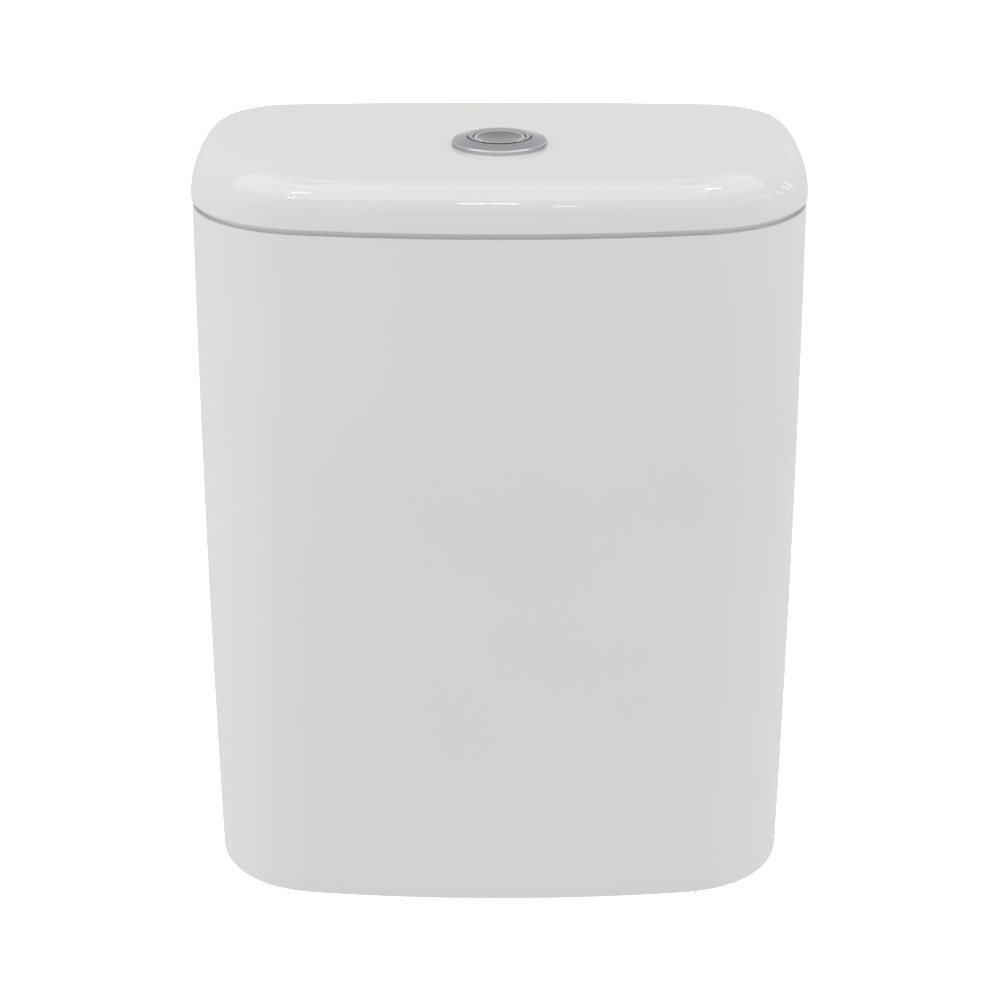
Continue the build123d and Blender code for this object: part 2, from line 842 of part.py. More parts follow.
# Fill valve: a threaded inlet through the floor, a riser, and a head shut by a cup float
fill_flange_low = floor + fill_washer
fill_flange_top = fill_flange_low + fill_flange
groove_top = -fill_nut_height - inlet_groove
groove_low = groove_top - inlet_groove
riser_low = fill_flange_top + fill_washer
with BuildPart() as fill_shank:
    revolve(
        turned(
            [
                (inlet_bore, -inlet_length),
                (inlet_radius - tail_chamfer, -inlet_length),
                (inlet_radius, -inlet_length + tail_chamfer),
                (inlet_radius, groove_low),
                (inlet_radius - inlet_groove_depth, groove_low),
                (inlet_radius - inlet_groove_depth, groove_top),
                (inlet_radius, groove_top),
                (inlet_radius, fill_flange_low),
                (fill_flange_radius, fill_flange_low),
                (fill_flange_radius, fill_flange_top),
                (fill_body_radius, fill_flange_top),
                (fill_body_radius, fill_body_top),
                (riser_radius + fit, fill_body_top),
                (riser_radius + fit, riser_low),
                (inlet_bore, riser_low),
            ],
            fill_x,
            fill_y,
        ),
        upright(fill_x, fill_y),
    )
fill_shank.part.label = "fill_shank"

with BuildPart() as fill_washer_ring:
    revolve(
        turned(
            [
                (inlet_radius + slip, floor),
                (fill_flange_radius - fill_washer / 2, floor),
                (fill_flange_radius, fill_flange_low),
                (inlet_radius + slip, fill_flange_low),
            ],
            fill_x,
            fill_y,
        ),
        upright(fill_x, fill_y),
    )
fill_washer_ring.part.label = "fill_washer"

with BuildPart() as fill_backnut:
    with BuildSketch(Plane.XY.offset(-fill_nut_height)):
        with Locations((fill_x, fill_y)):
            RegularPolygon(fill_nut_across / 2, 6, major_radius=False)
            Circle(inlet_radius + slip, mode=Mode.SUBTRACT)
    extrude(amount=fill_nut_height)
fill_backnut.part.label = "fill_backnut"

with BuildPart() as fill_riser:
    with BuildSketch(Plane.XY.offset(riser_low)):
        with Locations((fill_x, fill_y)):
            add(ring(riser_radius, riser_radius - riser_wall))
    extrude(amount=riser_top - riser_low)
fill_riser.part.label = "fill_riser"

head_low = riser_top - fill_cap_height
fill_head_top = head_low + fill_head_height
diaphragm_low = fill_head_top - diaphragm_thickness
arm_z = riser_top + outlet_arm_radius + float_wall
arm_end_y = fill_y - fill_head_radius - outlet_arm_length


def arm_tube(start, radius, drop):
    """A round bar from a start before the riser's axis to the front and then down by drop."""
    with BuildPart() as tube:
        with BuildLine():
            FilletPolyline(
                (fill_x, fill_y - start, arm_z),
                (fill_x, arm_end_y, arm_z),
                (fill_x, arm_end_y, arm_z - drop),
                radius=outlet_arm_bend,
            )
        with BuildSketch(Plane.XZ.offset(start - fill_y)):
            with Locations((fill_x, arm_z)):
                Circle(radius)
        sweep()
    return tube.part


with BuildPart() as fill_head:
    with BuildSketch(Plane.XY.offset(head_low)):
        with Locations((fill_x, fill_y)):
            add(ring(fill_head_radius, riser_radius + fit))
    extrude(amount=riser_top - head_low)
    with BuildSketch(Plane.XY.offset(riser_top)):
        with Locations((fill_x, fill_y)):
            add(ring(fill_head_radius, riser_radius - riser_wall))
    extrude(amount=diaphragm_low - riser_top)
    with BuildSketch(Plane.XY.offset(diaphragm_low)):
        with Locations((fill_x, fill_y)):
            add(ring(fill_head_radius, diaphragm_radius + slip))
    extrude(amount=diaphragm_thickness)
    # The outlet arm at the front turns the water down
    add(arm_tube(fill_head_radius - overrun, outlet_arm_radius, outlet_arm_length))
    add(arm_tube(0, outlet_arm_radius - float_wall, outlet_arm_length + overrun), mode=Mode.SUBTRACT)
fill_head.part.label = "fill_head"

with BuildPart() as diaphragm:
    with BuildSketch(Plane.XY.offset(diaphragm_low)):
        with Locations((fill_x, fill_y)):
            Circle(diaphragm_radius)
    extrude(amount=diaphragm_thickness)
diaphragm.part.label = "diaphragm"

lever_pin_z = fill_head_top + fill_cap_height + lever_pin_above
cheek_inner = lever_width / 2 + slip
with BuildPart() as fill_cap:
    with BuildSketch(Plane.XY.offset(fill_head_top)):
        with Locations((fill_x, fill_y)):
            Circle(fill_head_radius)
    extrude(amount=fill_cap_height)
    chamfer(fill_cap.faces().sort_by(Axis.Z)[-1].edges(), fill_cap_chamfer)
    # Two cheeks carry the lever's pin
    for side in (-1, 1):
        with BuildSketch(Plane.XZ.offset(side * (cheek_inner + lever_cheek / 2) - fill_y)):
            with Locations((fill_x + lever_pin_x, lever_pin_z - lever_pin_above / 2)):
                Rectangle(lever_height * 2, lever_pin_above + overrun)
            with Locations((fill_x + lever_pin_x, lever_pin_z)):
                Circle(lever_height)
                Circle(lever_pin_radius, mode=Mode.SUBTRACT)
        extrude(amount=lever_cheek / 2, both=True)
fill_cap.part.label = "fill_cap"

with BuildPart() as lever_pin:
    with BuildSketch(Plane.XZ.offset(-cheek_inner - lever_cheek - fill_y)):
        with Locations((fill_x + lever_pin_x, lever_pin_z)):
            Circle(lever_pin_radius - fit)
    extrude(amount=2 * (cheek_inner + lever_cheek))
lever_pin.part.label = "lever_pin"

# The lever rests with its float end low and turns level with the float's rise
lever_tilt = degrees(asin(float_travel / 2 / lever_arm))
screw_x = fill_x + lever_pin_x - lever_arm
lever_plane = Plane(
    origin=(fill_x + lever_pin_x, fill_y, lever_pin_z),
    x_dir=(cos(radians(lever_tilt)), 0, sin(radians(lever_tilt))),
    z_dir=(0, -1, 0),
)
lever_across = Plane(
    origin=(fill_x + lever_pin_x, fill_y, lever_pin_z),
    x_dir=(cos(radians(lever_tilt)), 0, sin(radians(lever_tilt))),
    z_dir=(-sin(radians(lever_tilt)), 0, cos(radians(lever_tilt))),
)
with BuildPart() as fill_lever:
    with BuildSketch(lever_plane):
        with Locations((-lever_arm / 2 + lever_tail / 4, 0)):
            Rectangle(lever_arm + lever_tail / 2, lever_height)
        Circle(lever_height / 2 + lever_pin_radius / 2)
    extrude(amount=lever_width / 2, both=True)
    with BuildSketch(lever_across):
        with Locations((-lever_arm, 0)):
            Circle(lever_eye_radius + lever_cheek)
    extrude(amount=lever_height / 2, both=True)
    with BuildSketch(lever_across):
        with Locations((-lever_arm, 0)):
            Circle(lever_eye_radius)
    extrude(amount=lever_height, both=True, mode=Mode.SUBTRACT)
    with BuildSketch(lever_plane):
        Circle(lever_pin_radius + fit)
    extrude(amount=lever_width, both=True, mode=Mode.SUBTRACT)
fill_lever.part.label = "fill_lever"

# Cup float round the riser, open below, with a lug that holds the level screw
float_bore = riser_radius + float_bore_clearance
screw_lug_low = float_high - screw_lug
with BuildPart() as float_cup:
    revolve(
        turned(
            [
                (float_bore, float_low),
                (float_bore, float_high),
                (float_radius, float_high),
                (float_radius, float_low),
                (float_radius - float_wall, float_low),
                (float_radius - float_wall, float_high - float_wall),
                (float_bore + float_wall, float_high - float_wall),
                (float_bore + float_wall, float_low),
            ],
            fill_x,
            fill_y,
        ),
        upright(fill_x, fill_y),
    )
    with BuildSketch(Plane.XY.offset(screw_lug_low)):
        with Locations((screw_x, fill_y)):
            Circle(screw_lug_radius)
    extrude(amount=screw_lug)
    with BuildSketch(Plane.XY.offset(screw_lug_low)):
        with Locations((screw_x, fill_y)):
            Circle(screw_radius + fit)
    extrude(amount=screw_lug, mode=Mode.SUBTRACT)
float_cup.part.label = "float_cup"

eye_z = lever_pin_z - lever_arm * sin(radians(lever_tilt))
eye_half_height = lever_height / 2 + (lever_eye_radius + lever_cheek) * sin(radians(lever_tilt))
with BuildPart() as level_screw:
    revolve(
        turned(
            [
                (0, screw_lug_low - screw_gap),
                (screw_radius, screw_lug_low - screw_gap),
                (screw_radius, float_high),
                (screw_radius + screw_collar, float_high),
                (screw_radius + screw_collar, float_high + screw_collar),
                (screw_radius, float_high + screw_collar),
                (screw_radius, eye_z - eye_half_height - screw_gap - screw_collar),
                (screw_head_radius, eye_z - eye_half_height - screw_gap - screw_collar),
                (screw_head_radius, eye_z - eye_half_height - screw_gap),
                (screw_radius, eye_z - eye_half_height - screw_gap),
                (screw_radius, eye_z + eye_half_height + screw_gap),
                (screw_head_radius, eye_z + eye_half_height + screw_gap),
                (screw_head_radius, eye_z + eye_half_height + screw_gap + screw_head),
                (0, eye_z + eye_half_height + screw_gap + screw_head),
            ],
            screw_x,
            fill_y,
        ),
        upright(screw_x, fill_y),
    )
level_screw.part.label = "level_screw"


# Bolts to the pan, with one node for each kind of piece
bolt_places = [(-bolt_spacing / 2, 0), (bolt_spacing / 2, 0)]
seal_top = floor + bolt_seal
head_seat = seal_top + steel_washer
with BuildPart() as pan_bolts:
    for x, y in bolt_places:
        revolve(
            turned(
                [
                    (0, -bolt_below),
                    (bolt_radius - bolt_end_chamfer, -bolt_below),
                    (bolt_radius, -bolt_below + bolt_end_chamfer),
                    (bolt_radius, floor - 2 * overrun),
                    (bolt_shoulder_radius, floor - overrun),
                    (bolt_shoulder_radius, head_seat),
                    (bolt_head_radius, head_seat),
                    (bolt_head_radius, head_seat + bolt_head / 2),
                    (bolt_head_radius - bolt_head / 2, head_seat + bolt_head),
                    (0, head_seat + bolt_head),
                ],
                x,
                y,
            ),
            upright(x, y),
        )
    with BuildSketch(Plane.XY.offset(head_seat + bolt_head)):
        with Locations(*bolt_places):
            Rectangle(2 * bolt_head_radius, bolt_slot)
    extrude(amount=-bolt_head / 2, mode=Mode.SUBTRACT)
pan_bolts.part.label = "pan_bolts"

with BuildPart() as bolt_seals:
    for x, y in bolt_places:
        revolve(
            turned(
                [
                    (bolt_shoulder_radius + fit, floor),
                    (bolt_seal_radius, floor),
                    (steel_washer_radius, seal_top),
                    (bolt_shoulder_radius + fit, seal_top),
                ],
                x,
                y,
            ),
            upright(x, y),
        )
bolt_seals.part.label = "bolt_seals"

with BuildPart() as bolt_washers:
    with BuildSketch(Plane.XY.offset(seal_top)):
        with Locations(*bolt_places):
            add(ring(steel_washer_radius, bolt_shoulder_radius + fit))
    extrude(amount=steel_washer)
bolt_washers.part.label = "bolt_washers"

pieces = (
    tank, lid, button_bezel, button_sleeve, sleeve_nut, full_flush_key, half_flush_key,
    full_key_spring, half_key_spring, full_push_rod, half_push_rod,
    valve_base, base_washer_ring, valve_backnut, valve_tower, rocker_pin,
    valve_stem, flush_seal, full_float, half_float, half_catch, full_rocker, half_rocker,
    fill_shank, fill_washer_ring, fill_backnut, fill_riser, fill_head, diaphragm, fill_cap,
    lever_pin, fill_lever, float_cup, level_screw,
    pan_bolts, bolt_seals, bolt_washers,
)
os.makedirs("parts", exist_ok=True)
for piece in pieces:
    export_step(piece.part, f"parts/{piece.part.label}.step")
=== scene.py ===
"""Looks of the ceramic cistern: smooth glazed shells, chrome button, moulded valve parts, soft studio light."""

import json
from math import atan2, cos, pi, radians, sin, sqrt, tan

import bmesh
import bpy
from mathutils import Matrix, Vector


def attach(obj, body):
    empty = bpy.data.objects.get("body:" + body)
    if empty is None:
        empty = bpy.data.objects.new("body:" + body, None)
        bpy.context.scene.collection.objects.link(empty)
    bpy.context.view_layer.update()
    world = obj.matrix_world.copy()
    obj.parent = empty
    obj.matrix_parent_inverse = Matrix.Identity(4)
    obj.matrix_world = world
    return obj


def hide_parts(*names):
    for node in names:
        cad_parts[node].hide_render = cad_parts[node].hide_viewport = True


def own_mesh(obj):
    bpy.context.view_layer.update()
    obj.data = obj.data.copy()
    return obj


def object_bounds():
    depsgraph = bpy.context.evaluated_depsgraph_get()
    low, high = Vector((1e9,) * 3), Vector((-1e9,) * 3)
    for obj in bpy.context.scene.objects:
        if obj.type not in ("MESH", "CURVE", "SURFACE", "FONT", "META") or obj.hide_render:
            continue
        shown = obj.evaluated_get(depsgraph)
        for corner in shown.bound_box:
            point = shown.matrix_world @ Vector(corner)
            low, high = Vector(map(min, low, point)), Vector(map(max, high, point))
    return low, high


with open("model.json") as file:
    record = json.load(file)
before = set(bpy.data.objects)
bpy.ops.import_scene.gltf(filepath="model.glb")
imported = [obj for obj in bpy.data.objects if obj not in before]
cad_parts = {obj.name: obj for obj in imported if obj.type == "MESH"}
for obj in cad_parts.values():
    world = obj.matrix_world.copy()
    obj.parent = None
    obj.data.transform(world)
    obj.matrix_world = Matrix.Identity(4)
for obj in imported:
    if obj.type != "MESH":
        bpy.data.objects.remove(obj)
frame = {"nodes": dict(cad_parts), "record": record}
cad_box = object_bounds()
nodes = frame["nodes"]
MM = 0.001

# ---------------------------------------------------------------- sizes shared with the CAD, in millimetres
WIDTH = 360.0
DEPTH = 185.3
TANK_HEIGHT = 418.0
LID_TOP = 454.8
BACK_Y = 75.0
BUTTON_Y = -46.0
KEY_TOP = 5.2  # above the lid
ROD_X = 8.0
ROD_BACK = 4.0
SPRING_RADIUS = 4.7
SPRING_WIRE = 0.9
SPRING_LOW = 427.8
SPRING_HIGH = 440.8
SPRING_END_RISE = 1.36
SPRING_TURNS = 5
CORNER_RADIUS = 77.7
CORNER_END_FROM_BACK = 99.2
SIDE_STRAIGHT = 12.7
SIDE_RADIUS = 367.2
SIDE_TURN = 6.25  # degrees
WALL = 9.5
FLOOR = 12.0
FOOT_INSET = 11.4
TAPER_SHARE = 0.42
FOOT_RADIUS = 13.0
INNER_FOOT_RADIUS = 16.0
LID_OVERHANG = 0.7
RIM_STEP_HEIGHT = 3.0
RIM_STEP_DEPTH = 4.0
OUTLET_HOLE = 32.5
BOLT_X = 75.0
BOLT_HOLE = 6.5
FILL_X = -112.0
FILL_Y = 30.0
FILL_HOLE = 12.0
WALL_HOLE = 4.5
WALL_HOLE_X = 110.0
WALL_HOLE_Z = 352.0
LID_STRAIGHT = 4.5
LID_ROUND = 19.0
LID_EDGE_DROP = 1.8
LID_CROWN_ACROSS = 26.0
LID_TOP_WALL = 9.0
LID_RIM_CLEARANCE = 1.8
LID_RIM_WIDTH = 5.0
LID_RIM_HEIGHT = 7.0
HOLLOW_ROUND = 8.0
BUTTON_HOLE = 22.5

# ---------------------------------------------------------------- sizes of the smooth meshes alone, in millimetres
LID_EDGE_LIFT = 1.4  # how much fuller the crown is at the middle of the lid's long edges
LID_LIFT_HALF_WIDTH = 150.0
LID_LOW_ROUND = 1.2
LID_LOW_STRAIGHT = LID_STRAIGHT * 0.55
LID_LOW_TURNS = (0, 25, 50, 70, 90)
SHOULDER = 0.6  # rounding of the tank's wall at the step under the lid
SHOULDER_TURNS = (30, 60, 90)
SHELF_INSET = 1.6  # of a ring on the step's flat, just inside the shoulder
SHELF_BACK_INSET = 0.8
STEP_BACK = 1.2  # depth of the step at the back
STEP_ROUND = 0.3
INNER_WALL_START = 1.2  # below the tank's top
# Edges of the tank's rim: (further in, below the top) outside and (further out, below the top) inside
RIM_OUTER_EDGE = ((0.0, 0.5), (0.2, 0.15), (0.6, 0.0))
RIM_INNER_EDGE = ((1.0, 0.0), (0.3, 0.3), (0.0, 1.0))
# The lid's rim: (inset from its face, below the tank's top) at its root and (inset, above its tip) at its tip
LID_RIM_ROOT = ((-2.0, 0.0), (-0.3, 0.0), (0.0, 0.4))
LID_RIM_TIP = ((0.0, 1.2), (0.35, 0.35), (1.2, 0.0))

# ---------------------------------------------------------------- how finely the meshes are divided
FRONT_POINTS = 22
CORNER_POINTS = 26
STRAIGHT_POINTS = 3
SIDE_POINTS = 8
REAR_POINTS = 24
BACK_POINTS = 12
FOOT_STEPS = 12
FLOOR_STEPS = 8
OUTER_ROWS = 44
INNER_ROWS = 24
CROWN_ROWS = 18
EDGE_ROWS = 40
HOLLOW_STEPS = 8
# Where flat faces are divided: foot and crown count from the round hole outwards, floor and hollow inwards to it
FOOT_SHARES = (0, 0.3, 0.6, 0.85)
FLOOR_SHARES = (0.15, 0.4, 0.7, 1)
CROWN_SHARES = (0, 0.1, 0.25, 0.5, 0.8)
HOLLOW_SHARES = (0.2, 0.5, 0.8, 1)
BAR_SIDES = 48
THROUGH = 3  # length of a cutter, in thicknesses of the ceramic
SPRING_STEPS = 32  # per turn
SPRING_SIDES = 12
SPRING_BLEND = 0.15  # turns over which the coil's pitch changes
SHARP_TURN = 32  # degrees
COIL_SHARP_TURN = 50
MERGE = 0.03 * MM  # vertices nearer than this become one after drilling


# ---------------------------------------------------------------- outline of the ceramic, seen from above
def arc(cx, cy, radius, start, end, count):
    """Points on an arc, without its last one. Angles in radians."""
    turns = [start + (end - start) * i / count for i in range(count)]
    return [(cx + radius * cos(turn), cy + radius * sin(turn)) for turn in turns]


def outline(inset, back_inset):
    """Closed outline, always the same number of points, from the front's middle round to the right."""
    half_width = WIDTH / 2 - inset
    front_y = BACK_Y - DEPTH + inset
    corner = CORNER_RADIUS - inset
    corner_x = half_width - corner
    corner_y = BACK_Y - CORNER_END_FROM_BACK
    reach = corner_y - front_y
    front_radius = (corner_x**2 + reach**2 - corner**2) / (2 * (reach - corner))
    turn = atan2(corner_x, front_radius - reach)
    side = SIDE_RADIUS - inset
    slope = sin(radians(SIDE_TURN))
    rear = (CORNER_END_FROM_BACK - SIDE_STRAIGHT - back_inset - side * slope) / (1 - slope)
    straight_y = corner_y + SIDE_STRAIGHT
    flank_x = half_width - side
    rear_x = flank_x + (side - rear) * cos(radians(SIDE_TURN))
    rear_y = straight_y + (side - rear) * slope
    right = []
    right += arc(0, front_y + front_radius, front_radius, -pi / 2, -pi / 2 + turn, FRONT_POINTS)
    right += arc(corner_x, corner_y, corner, -pi / 2 + turn, 0, CORNER_POINTS)
    right += [(half_width, corner_y + SIDE_STRAIGHT * i / STRAIGHT_POINTS) for i in range(STRAIGHT_POINTS)]
    right += arc(flank_x, straight_y, side, 0, radians(SIDE_TURN), SIDE_POINTS)
    right += arc(rear_x, rear_y, rear, radians(SIDE_TURN), pi / 2, REAR_POINTS)
    back_y = BACK_Y - back_inset
    right += [(rear_x * (1 - i / BACK_POINTS), back_y) for i in range(BACK_POINTS)]
    left = [(-x, y) for x, y in right[1:]][::-1]
    return right + [(0.0, back_y)] + left


def circle_like(points, cx, cy, radius):
    """A circle whose points lie in the same directions as the outline's."""
    ring = []
    for x, y in points:
        away = sqrt((x - cx) ** 2 + (y - cy) ** 2)
        ring.append((cx + (x - cx) * radius / away, cy + (y - cy) * radius / away))
    return ring


def level(points, z):
    """An outline as a ring of 3-D points in metres."""
    return [Vector((x * MM, y * MM, z * MM)) for x, y in points]


def between(a, b, share):
    """A ring part of the way from ring a to ring b."""
    return [p.lerp(q, share) for p, q in zip(a, b)]


# ---------------------------------------------------------------- meshes
def add_piece(name, mesh):
    """A new object in the scene, made from a bmesh that is used up."""
    data = bpy.data.meshes.new(name)
    mesh.to_mesh(data)
    mesh.free()
    piece = bpy.data.objects.new(name, data)
    bpy.context.scene.collection.objects.link(piece)
    return piece


def shell_from_rings(name, rings):
    """One closed surface through rings of equal length; the last ring joins the first."""
    mesh = bmesh.new()
    rows = [[mesh.verts.new(p) for p in ring] for ring in rings]
    for row, after in zip(rows, rows[1:] + rows[:1]):
        for i in range(len(row)):
            k = (i + 1) % len(row)
            mesh.faces.new((row[i], row[k], after[k], after[i]))
    bmesh.ops.recalc_face_normals(mesh, faces=mesh.faces)
    return add_piece(name, mesh)


def smooth(piece, turn=SHARP_TURN):
    """Smooth shading with sharp edges where faces turn more than this many degrees."""
    for face in piece.data.polygons:
        face.use_smooth = True
    piece.data.set_sharp_from_angle(angle=radians(turn))


def bar(name, place, direction, radius, length):
    """A round cutter centred on a place, in millimetres, along Y or Z."""
    mesh = bmesh.new()
    width = radius * MM
    bmesh.ops.create_cone(mesh, cap_ends=True, segments=BAR_SIDES, radius1=width, radius2=width, depth=length * MM)
    piece = add_piece(name, mesh)
    piece.location = Vector(place) * MM
    if direction == "Y":
        piece.rotation_euler = (pi / 2, 0, 0)
    return piece


def drill(piece, cutters):
    """Cut the cutters out of the piece and remove them."""
    bpy.context.view_layer.objects.active = piece
    for cutter in cutters:
        modifier = piece.modifiers.new("cut", "BOOLEAN")
        modifier.operation = "DIFFERENCE"
        modifier.solver = "EXACT"
        modifier.object = cutter
        bpy.ops.object.modifier_apply(modifier=modifier.name)
    for cutter in cutters:
        bpy.data.objects.remove(cutter)
    mesh = bmesh.new()
    mesh.from_mesh(piece.data)
    bmesh.ops.remove_doubles(mesh, verts=mesh.verts, dist=MERGE)
    mesh.to_mesh(piece.data)
    mesh.free()


# ---------------------------------------------------------------- tank
def draw_in(share):
    """How far the tank's wall stands inside the lid's outline, at a share of the tank's height."""
    down = 1 - share
    return LID_OVERHANG + FOOT_INSET * (TAPER_SHARE * down + (1 - TAPER_SHARE) * down**2)


def tank_shell():
    """The tank's mesh: under the foot from the outlet outwards, up the wall, over the rim and down the inside."""
    rings = []
    foot = outline(draw_in(0) + FOOT_RADIUS, FOOT_RADIUS)
    hole = circle_like(foot, 0, 0, OUTLET_HOLE)
    for share in FOOT_SHARES:
        rings.append(between(level(hole, 0), level(foot, 0), share))
    # The foot's rounding meets the leaning wall smoothly
    lean = FOOT_INSET * (2 - TAPER_SHARE) / TANK_HEIGHT
    skew = sqrt(1 + lean**2)
    centre_in = draw_in(0) - lean * FOOT_RADIUS + FOOT_RADIUS * skew
    end = pi / 2 - atan2(lean, 1)
    for i in range(FOOT_STEPS + 1):
        turn = end * i / FOOT_STEPS
        back_turn = pi / 2 * i / FOOT_STEPS
        ring = outline(centre_in - FOOT_RADIUS * sin(turn), FOOT_RADIUS * (1 - sin(back_turn)))
        rings.append(level(ring, FOOT_RADIUS * (1 - cos(turn))))
    start_z = FOOT_RADIUS * (1 - cos(end))
    step_z = TANK_HEIGHT - RIM_STEP_HEIGHT
    for i in range(1, OUTER_ROWS + 1):
        z = start_z + (step_z - SHOULDER - start_z) * i / OUTER_ROWS
        rings.append(level(outline(draw_in(z / TANK_HEIGHT), 0), z))
    # The rounded shoulder under the lid's shadow, the step and the rim
    at = draw_in(step_z / TANK_HEIGHT)
    for turn in SHOULDER_TURNS:
        give = SHOULDER * (1 - cos(radians(turn)))
        rings.append(level(outline(at + give, give), step_z - SHOULDER + SHOULDER * sin(radians(turn))))
    deep = LID_OVERHANG + RIM_STEP_DEPTH
    rings.append(level(outline(at + SHELF_INSET, SHELF_BACK_INSET), step_z))
    rings.append(level(outline(deep - STEP_ROUND, STEP_BACK - STEP_ROUND), step_z))
    rings.append(level(outline(deep, STEP_BACK), step_z + STEP_ROUND))
    for give, below in RIM_OUTER_EDGE:
        rings.append(level(outline(deep + give, STEP_BACK + give), TANK_HEIGHT - below))
    top_in = draw_in(1) + WALL
    for give, below in RIM_INNER_EDGE:
        rings.append(level(outline(top_in - give, WALL - give), TANK_HEIGHT - below))
    wall_top = TANK_HEIGHT - INNER_WALL_START
    for i in range(INNER_ROWS + 1):
        z = wall_top - (wall_top - FLOOR - INNER_FOOT_RADIUS) * i / INNER_ROWS
        rings.append(level(outline(draw_in(z / TANK_HEIGHT) + WALL, WALL), z))
    for i in range(1, FLOOR_STEPS + 1):
        turn = pi / 2 * i / FLOOR_STEPS
        z = FLOOR + INNER_FOOT_RADIUS * (1 - sin(turn))
        give = INNER_FOOT_RADIUS * (1 - cos(turn))
        rings.append(level(outline(draw_in(z / TANK_HEIGHT) + WALL + give, WALL + give), z))
    floor_in = draw_in(FLOOR / TANK_HEIGHT) + WALL
    flat = level(outline(floor_in + INNER_FOOT_RADIUS, WALL + INNER_FOOT_RADIUS), FLOOR)
    for share in FLOOR_SHARES:
        rings.append(between(flat, level(hole, FLOOR), share))
    return shell_from_rings("tank_glaze", rings)


tank = tank_shell()
drill(
    tank,
    [
        bar("cut_bolt_left", (-BOLT_X, 0, FLOOR / 2), "Z", BOLT_HOLE, THROUGH * FLOOR),
        bar("cut_bolt_right", (BOLT_X, 0, FLOOR / 2), "Z", BOLT_HOLE, THROUGH * FLOOR),
        bar("cut_fill", (FILL_X, FILL_Y, FLOOR / 2), "Z", FILL_HOLE, THROUGH * FLOOR),
        bar("cut_wall_left", (-WALL_HOLE_X, BACK_Y - WALL / 2, WALL_HOLE_Z), "Y", WALL_HOLE, THROUGH * WALL),
        bar("cut_wall_right", (WALL_HOLE_X, BACK_Y - WALL / 2, WALL_HOLE_Z), "Y", WALL_HOLE, THROUGH * WALL),
    ],
)
smooth(tank)


# ---------------------------------------------------------------- lid
def lid_z(inset, x):
    """Height of the lid's outside at an inset: an elliptical edge that runs smoothly into the crown."""
    drop = LID_EDGE_DROP - LID_EDGE_LIFT * max(1 - (x / LID_LIFT_HALF_WIDTH) ** 2, 0)
    if inset >= LID_ROUND:
        share = min((inset - LID_ROUND) / LID_CROWN_ACROSS, 1)
        return LID_TOP - drop * (1 - share) ** 2
    low = TANK_HEIGHT + LID_STRAIGHT
    rise = LID_TOP - drop - low
    slope = 2 * drop / LID_CROWN_ACROSS
    end_cos = slope / (rise / LID_ROUND - slope)
    across = LID_ROUND / (1 - end_cos)
    tall = rise / sqrt(1 - end_cos**2)
    return low + tall * sqrt(max(1 - (1 - inset / across) ** 2, 0))


def lid_ring(inset):
    """The lid's outside at one inset, as a ring of points in metres."""
    return [Vector((x * MM, y * MM, lid_z(inset, x) * MM)) for x, y in outline(inset, inset)]


def under_lid(inset, z):
    """A level ring on the lid's underside, whose back follows the tank's."""
    return level(outline(inset, inset - LID_OVERHANG), z)


def lid_shell():
    """The lid's mesh: over the top from the button's hole outwards, round the edge and rim, and under the top."""
    rings = []
    crown = outline(LID_ROUND + LID_CROWN_ACROSS, LID_ROUND + LID_CROWN_ACROSS)
    hole = circle_like(crown, 0, BUTTON_Y, BUTTON_HOLE)
    for share in CROWN_SHARES:
        rings.append(between(level(hole, LID_TOP), level(crown, LID_TOP), share))
    for i in range(CROWN_ROWS):
        rings.append(lid_ring(LID_ROUND + LID_CROWN_ACROSS * (1 - i / CROWN_ROWS)))
    for i in range(EDGE_ROWS + 1):
        rings.append(lid_ring(LID_ROUND * (1 - cos(pi / 2 * (1 - i / EDGE_ROWS)))))
    # The lower edge is rounded where it faces the tank
    rings.append(level(outline(0, 0), TANK_HEIGHT + LID_LOW_STRAIGHT))
    for turn in LID_LOW_TURNS:
        give = LID_LOW_ROUND * (1 - cos(radians(turn)))
        rings.append(level(outline(give, give), TANK_HEIGHT + LID_LOW_ROUND * (1 - sin(radians(turn)))))
    rim_out = LID_OVERHANG + WALL + LID_RIM_CLEARANCE
    rim_in = rim_out + LID_RIM_WIDTH
    rim_z = TANK_HEIGHT - LID_RIM_HEIGHT
    for give, below in LID_RIM_ROOT:
        rings.append(under_lid(rim_out + give, TANK_HEIGHT - below))
    for give, above in LID_RIM_TIP:
        rings.append(under_lid(rim_out + give, rim_z + above))
    for give, above in LID_RIM_TIP[::-1]:
        rings.append(under_lid(rim_in - give, rim_z + above))
    hollow = LID_TOP - LID_TOP_WALL
    for z in (TANK_HEIGHT, 0.5 * (TANK_HEIGHT + hollow - HOLLOW_ROUND)):
        rings.append(under_lid(rim_in, z))
    for i in range(HOLLOW_STEPS + 1):
        turn = pi / 2 * i / HOLLOW_STEPS
        give = HOLLOW_ROUND * (1 - cos(turn))
        rings.append(under_lid(rim_in + give, hollow - HOLLOW_ROUND * (1 - sin(turn))))
    flat = under_lid(rim_in + HOLLOW_ROUND, hollow)
    for share in HOLLOW_SHARES:
        rings.append(between(flat, level(hole, hollow), share))
    return shell_from_rings("lid_glaze", rings)


lid = lid_shell()
smooth(lid)


# ---------------------------------------------------------------- key springs
def spring_rise(turns):
    """Height of the wire's centre above its lowest: close at both ends and open between them."""
    total = SPRING_HIGH - SPRING_LOW - SPRING_WIRE
    open_turns = SPRING_TURNS - 2
    open_rise = (total - 2 * SPRING_END_RISE) / open_turns
    if turns < 1:
        return turns * SPRING_END_RISE
    if turns > SPRING_TURNS - 1:
        return total - (SPRING_TURNS - turns) * SPRING_END_RISE
    return SPRING_END_RISE + (turns - 1) * open_rise


